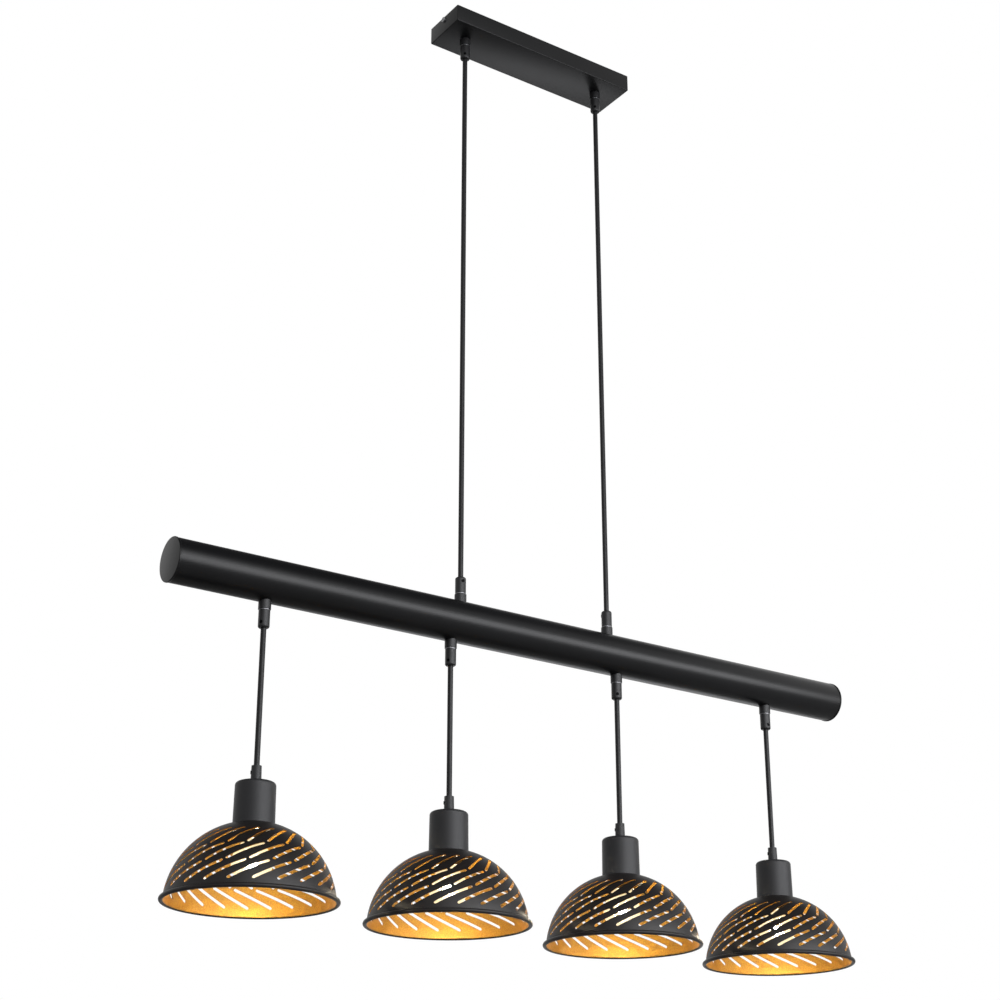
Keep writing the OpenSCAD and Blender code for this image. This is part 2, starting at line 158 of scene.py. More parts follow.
@dataclass(frozen=True)
class Paint:
    """Sprayed or moulded finish with a fine grain and faint clouds of tone."""

    name: str
    dark: Colour
    light: Colour
    roughness: float
    specular: float = 0.5
    grain: float = 0.7
    depth: float = 0.005
    cloud: float = 60.0
    cloud_detail: float = 3.0
    swing: float = 0.05

    def material(self) -> bpy.types.Material:
        """Make the finish.

        Returns:
            Its material.
        """
        bench = NodeBench(self.name)
        bench.set(Specular_IOR_Level=self.specular)
        clouds = bench.noise(self.cloud, self.cloud_detail)
        grain = bench.noise(self.grain)
        tone = bench.blend(bench.spread(clouds, 0.0, 1.0), self.dark, self.light)
        bench.link(tone, bench.shader.inputs["Base Color"])
        rough = bench.spread(grain, self.roughness - self.swing, self.roughness + self.swing)
        bench.link(rough, bench.shader.inputs["Roughness"])
        bench.relief(grain, self.depth)
        return bench.material


@dataclass(frozen=True)
class PaleFloor:
    """Matt floor that grows paler from start to end, in metres from the origin; its darker middle round
    the lamp is painted shade, so that the black bar reflects a dark floor.
    """

    name: str = "pale_floor"
    # near is painted shade: the floor is darkened round the lamp, where the bar's underside reflects it.
    near: Colour = (0.32, 0.32, 0.32)
    far: Colour = (0.8, 0.8, 0.8)
    start: float = 2.6
    end: float = 7.0
    roughness: float = 0.8
    specular: float = 0.2
    grain: float = 3.0
    depth: float = 0.01

    def material(self) -> bpy.types.Material:
        """Make the finish.

        Returns:
            Its material.
        """
        bench = NodeBench(self.name)
        bench.set(Roughness=self.roughness, Specular_IOR_Level=self.specular)
        distance = bench.tree.nodes.new("ShaderNodeVectorMath")
        distance.operation = "LENGTH"
        bench.link(bench.coords, distance.inputs[0])
        fade = bench.tree.nodes.new("ShaderNodeMapRange")
        fade.interpolation_type = "SMOOTHSTEP"
        fade.inputs["From Min"].default_value = self.start
        fade.inputs["From Max"].default_value = self.end
        bench.link(distance.outputs["Value"], fade.inputs["Value"])
        tone = bench.blend(fade.outputs["Result"], self.near, self.far)
        bench.link(tone, bench.shader.inputs["Base Color"])
        bench.relief(bench.noise(self.grain), self.depth)
        return bench.material


@dataclass(frozen=True)
class Metal:
    """Bare, plated or lacquered metal with a grain and broader patches of gloss."""

    name: str
    dark: Colour
    light: Colour
    roughness: float
    grain: float = 0.5
    depth: float = 0.01
    grain_detail: float = 3.0
    patch_share: float = 3.0
    swing: float = 0.08
    metallic: float = 1.0
    lacquer: float = 0.0
    lacquer_roughness: float = 0.45

    def material(self) -> bpy.types.Material:
        """Make the finish.

        Returns:
            Its material.
        """
        bench = NodeBench(self.name)
        bench.set(
            Metallic=self.metallic,
            Coat_Weight=self.lacquer,
            Coat_Roughness=self.lacquer_roughness,
        )
        grain = bench.noise(self.grain, self.grain_detail)
        tone = bench.blend(bench.spread(grain, 0.0, 1.0), self.dark, self.light)
        bench.link(tone, bench.shader.inputs["Base Color"])
        patches = bench.noise(self.grain * self.patch_share)
        rough = bench.spread(patches, self.roughness - self.swing, self.roughness + self.swing)
        bench.link(rough, bench.shader.inputs["Roughness"])
        bench.relief(grain, self.depth)
        return bench.material


@dataclass(frozen=True)
class LitGlass:
    """Glass of a lamp that is switched on."""

    name: str
    glow: Colour
    strength: float
    cover: float = 1.0
    tint: float = 1.0
    dark: Colour = (0.86, 0.8, 0.7)
    light: Colour = (0.93, 0.89, 0.82)
    roughness: float = 0.25
    cloud: float = 8.0

    def material(self) -> bpy.types.Material:
        """Make the finish.

        Returns:
            Its material.
        """
        bench = NodeBench(self.name)
        bench.set(
            Roughness=self.roughness,
            Emission_Color=(*self.glow, 1.0),
            Emission_Strength=self.strength,
            Alpha=self.cover,
        )
        low = tuple(self.tint * part for part in self.dark)
        high = tuple(self.tint * part for part in self.light)
        tone = bench.blend(bench.noise(self.cloud), low, high)
        bench.link(tone, bench.shader.inputs["Base Color"])
        return bench.material


Finish = Paint | Metal | LitGlass


class Coat(Enum):
    """The lamp's finishes, each with the record's slot that it belongs to."""

    BLACK = (
        "black_paint",
        Paint(
            "satin_black_coat",
            dark=(0.0013, 0.0013, 0.0015),
            light=(0.002, 0.002, 0.0023),
            roughness=0.34,
            specular=0.17,
        ),
    )
    CAP = (
        "cap_paint",
        Paint(
            "dark_grey_coat",
            dark=(0.007, 0.007, 0.0078),
            light=(0.01, 0.01, 0.0108),
            roughness=0.48,
            specular=0.22,
        ),
    )
    # The shade's coat is black, and its warm brown tint is painted glow from the lit bulbs.
    SHADE = (
        "shade_paint",
        Paint(
            "matte_black_coat",
            dark=(0.0034, 0.0023, 0.0018),
            light=(0.0046, 0.0036, 0.0032),
            roughness=0.48,
            specular=0.24,
        ),
    )
    GOLD = (
        "shade_paint",
        Metal(
            "gold_lacquer",
            dark=(0.24, 0.096, 0.0022),
            light=(0.43, 0.224, 0.011),
            roughness=0.36,
            grain=1.1,
            depth=0.05,
            metallic=0.9,
            lacquer=1.0,
            lacquer_roughness=0.3,
        ),
    )
    GLAND = (
        "gland_plastic",
        Paint(
            "gland_plastic",
            dark=(0.0045, 0.0045, 0.005),
            light=(0.007, 0.007, 0.0075),
            roughness=0.42,
            specular=0.24,
            grain=0.5,
            depth=0.004,
        ),
    )
    SHEATH = (
        "cord_sheath",
        Paint(
            "cord_sheath",
            dark=(0.0022, 0.0022, 0.0026),
            light=(0.0034, 0.0034, 0.0038),
            roughness=0.42,
            specular=0.18,
            grain=30.0,
            depth=0.0004,
        ),
    )
    HOLDER = (
        "holder_plastic",
        Paint("holder_plastic", dark=(0.012, 0.012, 0.012), light=(0.02, 0.02, 0.02), roughness=0.5),
    )
    ZINC = (
        "zinc_steel",
        Metal("zinc_plate", dark=(0.45, 0.45, 0.46), light=(0.62, 0.62, 0.63), roughness=0.38, grain=4.0),
    )
    SCREW = (
        "screw_steel",
        Metal("plated_screw", dark=(0.22, 0.22, 0.23), light=(0.34, 0.34, 0.35), roughness=0.4),
    )
    CLAMP = (
        "screw_steel",
        Metal("blackened_screw", dark=(0.002, 0.002, 0.0022), light=(0.005, 0.005, 0.0052), roughness=0.5),
    )
    RING = (
        "screw_steel",
        Metal("friction_ring", dark=(0.16, 0.16, 0.17), light=(0.24, 0.24, 0.25), roughness=0.4),
    )
    TERMINAL = (
        "terminal_plastic",
        Paint("terminal_plastic", dark=(0.72, 0.7, 0.66), light=(0.8, 0.79, 0.75), roughness=0.45),
    )
    BRASS = (
        "contact_brass",
        Metal("contact_brass", dark=(0.68, 0.45, 0.18), light=(0.8, 0.58, 0.27), roughness=0.3),
    )
    BULB_METAL = (
        "bulb_metal",
        Metal("bulb_cap_metal", dark=(0.62, 0.62, 0.63), light=(0.78, 0.78, 0.79), roughness=0.3),
    )
    GLASS = (
        "bulb_glass",
        LitGlass("warm_frosted_glass", glow=(1.0, 0.8, 0.45), strength=1.0, cover=0.75, tint=0.003),
    )
    CORE = (
        "bulb_glass",
        LitGlass("glowing_core", glow=(1.0, 0.88, 0.64), strength=7000.0),
    )

    @property
    def slot(self) -> str:
        """The record's material slot."""
        return self.value[0]

    @property
    def finish(self) -> Finish:
        """The finish that makes the material."""
        return self.value[1]


class Palette:
    """Makes each finish's material once."""

    def __init__(self) -> None:
        """Start with no materials made."""
        self._made: dict[Coat, bpy.types.Material] = {}

    def get(self, coat: Coat) -> bpy.types.Material:
        """Find a coat's material, or make it on first use.

        Args:
            coat: the coat.

        Returns:
            Its material.
        """
        if coat not in self._made:
            self._made[coat] = coat.finish.material()
        return self._made[coat]


PALETTE = Palette()


class Stance(Enum):
    """How a cord gland sits on the face that it is fixed to, by its sign along Z."""

    STANDS = 1.0
    HANGS = -1.0


class End(Enum):
    """The short ends of the canopy and of the bar, by their sign along X."""

    LEFT = -1.0
    RIGHT = 1.0


@dataclass(frozen=True)
class Corner:
    """One corner of a turned outline, in millimetres."""

    radius: float
    height: float
    fillet: float = 0.0


def turn(outline: Sequence[Corner], steps: int, closed: bool = False) -> bmesh.types.BMesh:
    """Turn an outline round Z, as on a lathe.

    Args:
        outline: corners in order; each fillet rounds its own corner.
        steps: segments round the axis.
        closed: True joins the last corner to the first, for a ring.

    Returns:
        The turned mesh.
    """
    mesh = bmesh.new()
    verts = [mesh.verts.new((corner.radius, 0.0, corner.height)) for corner in outline]
    for first, second in zip(verts, verts[1:]):
        mesh.edges.new((first, second))
    if closed:
        mesh.edges.new((verts[-1], verts[0]))
    for vert, corner in zip(verts, outline):
        if corner.fillet > 0.0:
            bmesh.ops.bevel(
                mesh,
                geom=[vert],
                offset=corner.fillet,
                offset_type="OFFSET",
                segments=max(FILLET_STEPS_LEAST, math.ceil(corner.fillet * FILLET_STEPS_PER_MM)),
                profile=0.5,
                affect="VERTICES",
                material=-1,
            )
    bmesh.ops.spin(
        mesh,
        geom=mesh.verts[:] + mesh.edges[:],
        cent=ORIGIN,
        axis=(0.0, 0.0, 1.0),
        angle=math.tau,
        steps=steps,
        use_merge=True,
    )
    bmesh.ops.remove_doubles(mesh, verts=mesh.verts[:], dist=WELD)
    bmesh.ops.recalc_face_normals(mesh, faces=mesh.faces[:])
    return mesh


def move(mesh: bmesh.types.BMesh, x: float, y: float, z: float) -> None:
    """Shift a mesh by millimetres along the part's axes."""
    bmesh.ops.translate(mesh, verts=mesh.verts[:], vec=(x, y, z))


def rotate(mesh: bmesh.types.BMesh, degrees: float, axis: str) -> None:
    """Turn a mesh about one of the part's axes."""
    turned = Matrix.Rotation(math.radians(degrees), 3, axis)
    bmesh.ops.rotate(mesh, verts=mesh.verts[:], cent=ORIGIN, matrix=turned)


def merge(parts: Sequence[bmesh.types.BMesh]) -> bmesh.types.BMesh:
    """Put several meshes into one.

    Args:
        parts: the meshes, which are freed.

    Returns:
        One mesh that holds them all.
    """
    whole = bmesh.new()
    for part in parts:
        carrier = bpy.data.meshes.new("carrier")
        part.to_mesh(carrier)
        part.free()
        whole.from_mesh(carrier)
        bpy.data.meshes.remove(carrier)
    return whole


def settle(
    mesh: bmesh.types.BMesh,
    name: str,
    coats: Sequence[Coat],
    body: str,
    stands_for: Sequence[str] = (),
) -> bpy.types.Object:
    """Turn a mesh in millimetres into a piece that rides on its body.

    Args:
        mesh: the mesh, which is freed.
        name: name of the piece.
        coats: finishes in the order of the faces' material numbers.
        body: CAD body that carries it.
        stands_for: CAD nodes that it replaces.

    Returns:
        The piece.
    """
    scale = Matrix.Scale(MM, 4)
    bmesh.ops.transform(mesh, matrix=scale, verts=mesh.verts[:])
    data = bpy.data.meshes.new(name)
    mesh.to_mesh(data)
    mesh.free()
    for coat in coats:
        data.materials.append(PALETTE.get(coat))
    data.shade_smooth()
    data.set_sharp_from_angle(angle=math.radians(CREASE_DEGREES))
    piece = bpy.data.objects.new(name, data)
    bpy.context.scene.collection.objects.link(piece)
    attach(piece, body)
    if stands_for:
        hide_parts(*stands_for)
    LOG.info("%s: %d faces on %s", name, len(data.polygons), body)
    return piece


def dress(coat: Coat, *nodes: str) -> None:
    """Give CAD nodes that stay in view their finish.

    Args:
        coat: the finish.
        *nodes: names of the nodes.
    """
    for name in nodes:
        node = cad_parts[name]
        node.data.materials.clear()
        node.data.materials.append(PALETTE.get(coat))
        LOG.info("%s: CAD solid in %s", name, coat.name)


@dataclass(frozen=True)
class Layout:
    """Places that more than one sub-assembly needs."""

    canopy_height: float = 25.0
    suspension_spacing: float = 226.0
    bar_drop: float = 878.0
    bar_radius: float = 26.0
    pendant_spacing: float = 253.0
    pendants: int = 4
    rim_drop: float = 366.0
    cap_top: float = -1114.13

    @property
    def bar_z(self) -> float:
        """Height of the bar's axis."""
        return -self.bar_drop

    @property
    def bar_top(self) -> float:
        """Height of the bar's upper side."""
        return self.bar_z + self.bar_radius

    @property
    def bar_underside(self) -> float:
        """Height of the bar's lower side."""
        return self.bar_z - self.bar_radius

    @property
    def suspension_x(self) -> tuple[float, float]:
        """Places of the two suspension cords."""
        return -self.suspension_spacing / 2.0, self.suspension_spacing / 2.0

    def pendant_x(self, number: int) -> float:
        """Return the place of a pendant along the bar, counted from 1."""
        return (number - (self.pendants + 1) / 2.0) * self.pendant_spacing


@dataclass(frozen=True)
class Softbox:
    """One soft rectangular light: metres, watts, and the angle in degrees it fans out over."""

    name: str
    place: Place
    aim: Place
    width: float
    height: float
    power: float
    spread: float = 180.0
    colour: Colour = (0.96, 0.97, 1.0)

    def hang(self) -> None:
        """Hang the light so that it faces its aim."""
        data = bpy.data.lights.new(self.name, "AREA")
        data.shape = "RECTANGLE"
        data.size = self.width
        data.size_y = self.height
        data.energy = self.power
        data.spread = math.radians(self.spread)
        data.color = self.colour
        lamp = bpy.data.objects.new(self.name, data)
        lamp.location = self.place
        facing = Vector(self.aim) - Vector(self.place)
        lamp.rotation_euler = facing.to_track_quat("-Z", "Y").to_euler()
        lamp.visible_camera = False
        bpy.context.scene.collection.objects.link(lamp)


@dataclass
class Studio:
    """Camera, soft lights, pale floor and white surround, in metres."""

    eye: Place = (-1.3095, -1.8247, -1.6149)
    gaze: Place = (0.5241, 0.7618, 0.3808)
    lens: float = 67.83
    sensor: float = 36.0
    sight: float = 200.0
    floor_z: float = -1.9
    floor_reach: float = 30.0
    floor_cells: int = 4
    wall: Colour = (1.0, 1.0, 1.0)
    wall_top: float = 0.61
    ceiling_edge: float = 0.76
    ceiling: Colour = (0.12, 0.12, 0.125)
    ambient: float = 1.2
    softboxes: tuple[Softbox, ...] = (
        Softbox("front_softbox", (-0.7, -2.5, 0.2), (0.0, 0.0, -1.15), 2.4, 1.0, 42.0),
        Softbox("right_softbox", (1.35, -2.35, -0.65), (1.0, 0.0, -0.9), 3.8, 1.1, 128.0),
        Softbox("low_softbox", (1.35, 1.9, -1.75), (0.0, 0.0, -0.1), 1.6, 1.2, 2.7, spread=70.0),
    )

    def build(self) -> None:
        """Make everything that stands round the lamp."""
        self.camera()
        self.surround()
        self.floor()
        for softbox in self.softboxes:
            softbox.hang()
            LOG.info("%s: %.1f W", softbox.name, softbox.power)

    def camera(self) -> None:
        """Set the camera where the photograph was taken from."""
        data = bpy.data.cameras.new("photo_camera")
        data.lens = self.lens
        data.sensor_width = self.sensor
        data.clip_end = self.sight
        camera = bpy.data.objects.new("photo_camera", data)
        camera.location = self.eye
        camera.rotation_euler = Vector(self.gaze).to_track_quat("-Z", "Y").to_euler()
        bpy.context.scene.collection.objects.link(camera)
        bpy.context.scene.camera = camera

    def surround(self) -> None:
        """Give the world a white wall all round and a greyer ceiling."""
        world = bpy.data.worlds.new("white_surround")
        world.use_nodes = True
        tree = world.node_tree
        coords = tree.nodes.new("ShaderNodeTexCoord")
        parts = tree.nodes.new("ShaderNodeSeparateXYZ")
        fade = tree.nodes.new("ShaderNodeMapRange")
        fade.interpolation_type = "SMOOTHSTEP"
        fade.inputs["From Min"].default_value = self.wall_top
        fade.inputs["From Max"].default_value = self.ceiling_edge
        mix = tree.nodes.new("ShaderNodeMix")
        mix.data_type = "RGBA"
        mix.inputs["A"].default_value = (*self.wall, 1.0)
        mix.inputs["B"].default_value = (*self.ceiling, 1.0)
        tree.links.new(coords.outputs["Generated"], parts.inputs["Vector"])
        tree.links.new(parts.outputs["Z"], fade.inputs["Value"])
        tree.links.new(fade.outputs["Result"], mix.inputs["Factor"])
        tree.links.new(mix.outputs["Result"], tree.nodes["Background"].inputs["Color"])
        tree.links.new(self.seen_strength(tree), tree.nodes["Background"].inputs["Strength"])
        bpy.context.scene.world = world
        bpy.context.scene.view_settings.view_transform = "Standard"

    def seen_strength(self, tree: bpy.types.NodeTree) -> bpy.types.NodeSocket:
        """Keep the world white where it is seen, apart from how strongly it lights.

        Args:
            tree: the world's node tree.

        Returns:
            The strength: 1 where the camera, a gloss or glass shows the world, else ambient.
        """
        path = tree.nodes.new("ShaderNodeLightPath")
        seen = path.outputs["Is Camera Ray"]
        for ray in ("Is Glossy Ray", "Is Transmission Ray"):
            either = tree.nodes.new("ShaderNodeMath")
            either.operation = "MAXIMUM"
            tree.links.new(seen, either.inputs[0])
            tree.links.new(path.outputs[ray], either.inputs[1])
            seen = either.outputs["Value"]
        level = tree.nodes.new("ShaderNodeMapRange")
        level.inputs["To Min"].default_value = self.ambient
        tree.links.new(seen, level.inputs["Value"])
        return level.outputs["Result"]

    def floor(self) -> None:
        """Lay the pale floor."""
        mesh = bmesh.new()
        cells = self.floor_cells
        bmesh.ops.create_grid(mesh, x_segments=cells, y_segments=cells, size=self.floor_reach)
        bmesh.ops.translate(mesh, verts=mesh.verts[:], vec=(0.0, 0.0, self.floor_z))
        data = bpy.data.meshes.new("studio_floor")
        mesh.to_mesh(data)
        mesh.free()
        data.materials.append(PaleFloor().material())
        floor = bpy.data.objects.new("studio_floor", data)
        bpy.context.scene.collection.objects.link(floor)


@dataclass(frozen=True)
class GrooveRing:
    """Bright friction ring in the groove of a cord gland."""

    outer: float = 6.78
    inner: float = 5.6
    near: float = 10.05
    far: float = 10.7
    edge: float = 0.1
    steps: int = 48

    def build(self, x: float, seat: float, stance: Stance) -> bmesh.types.BMesh:
        """Make the ring.

        Args:
            x: place of the gland along the bar.
            seat: height of the face that the gland is fixed to.
            stance: whether the gland stands on its seat or hangs from it.

        Returns:
            The ring's mesh, in place.
        """
        low, high = sorted((seat + stance.value * self.near, seat + stance.value * self.far))
        outline = [
            Corner(self.outer, low, self.edge),
            Corner(self.outer, high, self.edge),
            Corner(self.inner, high),
            Corner(self.inner, low),
        ]
        mesh = turn(outline, self.steps, closed=True)
        move(mesh, x, 0.0, 0.0)
        return mesh


@dataclass
class Cord:
    """One taut cord with a smooth round sheath, and round ends where it turns in its glands."""

    name: str
    node: str
    body: str
    x: float
    top: float
    bottom: float
    exit_z: float
    diameter: float
    levels: int
    fillet: float = 0.0
    sides: int = 20

    def build(self) -> None:
        drop = (self.bottom - self.top) / (self.levels - 1)
        heights = [self.top + drop * level for level in range(self.levels)]
        radius = self.diameter / 2.0
        outline = [Corner(0.0, self.top), Corner(radius, self.top, self.fillet)]
        outline += [Corner(radius, height) for height in heights[1:-1]]
        outline += [Corner(radius, self.bottom, self.fillet), Corner(0.0, self.bottom)]
        mesh = turn(outline, self.sides)
        move(mesh, self.x, 0.0, 0.0)
        piece = settle(mesh, self.name, [Coat.SHEATH], self.body, [self.node])


@dataclass
class Cordage:
    """The two suspension cords, which turn at their gland mouths, and the drop cords."""

    layout: Layout
    diameter: float = 6.6
    gland_length: float = 32.0
    gland_seat: float = 22.5
    grip_height: float = 18.6
    grip_bore: float = 11.0
    end_round: float = 0.98
    suspension_levels: int = 24
    drop_levels: int = 10

    def build(self) -> None:
        """Make all the cords."""
        for cord in self.suspension() + self.drops():
            cord.build()

    def suspension(self) -> list[Cord]:
        """Size the cords between the canopy and the bar.

        Returns:
            The left and the right cord, each with half balls about its two pivots.
        """
        radius = self.diameter / 2.0
        upper_pivot = -self.layout.canopy_height - self.gland_length
        lower_pivot = self.layout.bar_top + self.gland_length
        return [
            Cord(
                name=f"suspension_sheath_{side}",
                node=f"suspension_cord_{side}",
                body=f"cord_{side}",
                x=x,
                top=upper_pivot + radius,
                bottom=lower_pivot - radius,
                exit_z=upper_pivot,
                diameter=self.diameter,
                levels=self.suspension_levels,
                fillet=self.end_round * radius,
            )
            for side, x in zip(("left", "right"), self.layout.suspension_x)
        ]

    def drops(self) -> list[Cord]:
        """Size the cords between the bar and the caps.

        Returns:
            One cord for each pendant.
        """
        seat = self.layout.bar_underside
        return [
            Cord(
                name=f"drop_sheath_{number}",
                node=f"drop_cord_{number}",
                body=f"pendant_{number}",
                x=self.layout.pendant_x(number),
                top=seat - self.gland_seat,
                bottom=self.layout.cap_top + self.grip_height - self.grip_bore,
                exit_z=seat - self.gland_length,
                diameter=self.diameter,
                levels=self.drop_levels,
            )
            for number in range(1, self.layout.pendants + 1)
        ]


@dataclass
class Canopy:
    """Ceiling canopy: folded cover with its bracket, screws and cord glands."""

    layout: Layout
    length: float = 296.0
    width: float = 68.0
    sheet: float = 1.5
    ceiling_gap: float = 0.3
    edge: float = 1.0
    edge_steps: int = 3
    notch_half: float = 2.3
    notch_depth: float = 7.3
    notch_round: float = 0.98
    notch_steps: int = 6
    lid_facing: float = 0.9
    end_facing: float = 0.999
    nearness: float = 0.01

    def build(self) -> None:
        """Make the cover and dress what it holds."""
        settle(self.cover(), "canopy_shell", [Coat.BLACK], "ceiling", ["canopy_cover"])
        dress(Coat.ZINC, "ceiling_bracket", "canopy_gland_nuts")
        dress(Coat.SCREW, "canopy_screws")
        dress(Coat.CLAMP, "canopy_swivel_screws")
        dress(Coat.TERMINAL, "terminal_block")
        dress(Coat.GLAND, "canopy_gland_bases", "canopy_swivels")
        seat = -self.layout.canopy_height
        rings = [GrooveRing().build(x, seat, Stance.HANGS) for x in self.layout.suspension_x]
        settle(merge(rings), "canopy_groove_rings", [Coat.RING], "swivels")

    def cover(self) -> bmesh.types.BMesh:
        """Fold the cover from sheet: five sides, soft edges and a notch in each end.

        Returns:
            The cover's mesh.
        """
        top = -self.ceiling_gap
        bottom = -self.layout.canopy_height
        mesh = bmesh.new()
        bmesh.ops.create_cube(mesh, size=1.0)
        size = Vector((self.length, self.width, top - bottom))
        bmesh.ops.scale(mesh, vec=size, verts=mesh.verts[:])
        move(mesh, 0.0, 0.0, (top + bottom) / 2.0)
        lid = [f for f in mesh.faces if f.normal.z > self.lid_facing]
        bmesh.ops.delete(mesh, geom=lid, context="FACES_ONLY")
        bmesh.ops.bevel(
            mesh,
            geom=[e for e in mesh.edges if not e.is_boundary],
            offset=self.edge,
            offset_type="OFFSET",
            segments=self.edge_steps,
            profile=0.5,
            affect="EDGES",
            material=-1,
        )
        for end in End:
            self.notch(mesh, end)
        bmesh.ops.recalc_face_normals(mesh, faces=mesh.faces[:])
        bmesh.ops.solidify(mesh, geom=mesh.faces[:], thickness=self.sheet)
        return mesh

    def end_faces(self, mesh: bmesh.types.BMesh, end: End) -> list[bmesh.types.BMFace]:
        """Return the flat faces of one end."""
        return [f for f in mesh.faces if f.normal.x * end.value > self.end_facing]

    def notch(self, mesh: bmesh.types.BMesh, end: End) -> None:
        """Cut the screw's U-shaped notch into one end.

        Args:
            mesh: the cover before it has its thickness.
            end: the end.
        """
        cuts = (
            ((0.0, self.notch_half, 0.0), (0.0, 1.0, 0.0)),
            ((0.0, -self.notch_half, 0.0), (0.0, 1.0, 0.0)),
            ((0.0, 0.0, -self.notch_depth), (0.0, 0.0, 1.0)),
        )
        for place, normal in cuts:
            near = self.end_faces(mesh, end)
            around = {e for f in near for e in f.edges} | {v for f in near for v in f.verts}
            bmesh.ops.bisect_plane(mesh, geom=near + list(around), plane_co=place, plane_no=normal)
        middle = [
            f
            for f in self.end_faces(mesh, end)
            if abs(f.calc_center_median().y) < self.notch_half
            and f.calc_center_median().z > -self.notch_depth
        ]
        bmesh.ops.delete(mesh, geom=middle, context="FACES")
        corners = [
            v
            for v in mesh.verts
            if v.co.x * end.value > self.length / 2.0 - self.nearness
            and abs(abs(v.co.y) - self.notch_half) < self.nearness
            and abs(v.co.z + self.notch_depth) < self.nearness
        ]
        flat = self.end_faces(mesh, end)
        seams = [
            e
            for e in {e for f in flat for e in f.edges}
            if not e.is_boundary and all(g in flat for g in e.link_faces)
        ]
        bmesh.ops.dissolve_edges(mesh, edges=seams, use_verts=True, use_face_split=False)
        bmesh.ops.bevel(
            mesh,
            geom=[v for v in corners if v.is_valid],
            offset=self.notch_half * self.notch_round,
            offset_type="OFFSET",
            segments=self.notch_steps,
            profile=0.5,
            affect="VERTICES",
            material=-1,
        )


@dataclass
class Bar:
    """Round bar with its end caps and the glands on it."""

    layout: Layout
    length: float = 1000.0
    wall: float = 1.5
    tube_edge: float = 0.3
    cap_thickness: float = 2.2
    cap_proud: float = 0.5
    cap_edge: float = 0.9
    cap_back_edge: float = 0.2
    plug_clearance: float = 0.1
    plug_depth: float = 9.0
    plug_wall: float = 2.4
    steps: int = 128

    def build(self) -> None:
        """Make the tube and its caps and dress the glands."""
        settle(self.tube(), "bar_tube_skin", [Coat.BLACK], "bar", ["bar_tube"])
        caps = merge([self.end_cap(end) for end in End])
        settle(caps, "bar_end_discs", [Coat.BLACK], "bar", ["bar_end_caps"])
        dress(Coat.GLAND, "top_glands", "drop_gland_bases")
        dress(Coat.CLAMP, "top_gland_screws")
        dress(Coat.ZINC, "bar_gland_nuts")
        seat = self.layout.bar_top
        rings = [GrooveRing().build(x, seat, Stance.STANDS) for x in self.layout.suspension_x]
        settle(merge(rings), "top_groove_rings", [Coat.RING], "bar")

    def tube(self) -> bmesh.types.BMesh:
        """Make the tube along X.

        Returns:
            The tube's mesh, in place.
        """
        radius = self.layout.bar_radius
        half = self.length / 2.0 - self.cap_thickness
        outline = [
            Corner(radius, -half, self.tube_edge),
            Corner(radius, half, self.tube_edge),
            Corner(radius - self.wall, half),
            Corner(radius - self.wall, -half),
        ]
        mesh = turn(outline, self.steps, closed=True)
        rotate(mesh, 90.0, "Y")
        move(mesh, 0.0, 0.0, self.layout.bar_z)
        return mesh

    def end_cap(self, end: End) -> bmesh.types.BMesh:
        """Make the cap at one end, a disc with a hollow plug behind it.

        Args:
            end: the end.

        Returns:
            The cap's mesh, in place.
        """
        radius = self.layout.bar_radius + self.cap_proud
        plug = self.layout.bar_radius - self.wall - self.plug_clearance
        bore = plug - self.plug_wall
        face = self.length / 2.0
        back = face - self.cap_thickness
        outline = [
            Corner(0.0, face),
            Corner(radius, face, self.cap_edge),
            Corner(radius, back, self.cap_back_edge),
            Corner(plug, back),
            Corner(plug, back - self.plug_depth),
            Corner(bore, back - self.plug_depth),
            Corner(bore, back),
            Corner(0.0, back),
        ]
        mesh = turn(outline, self.steps)
        rotate(mesh, 90.0, "Y")
        if end is End.LEFT:
            rotate(mesh, 180.0, "Z")
        move(mesh, 0.0, 0.0, self.layout.bar_z)
        return mesh


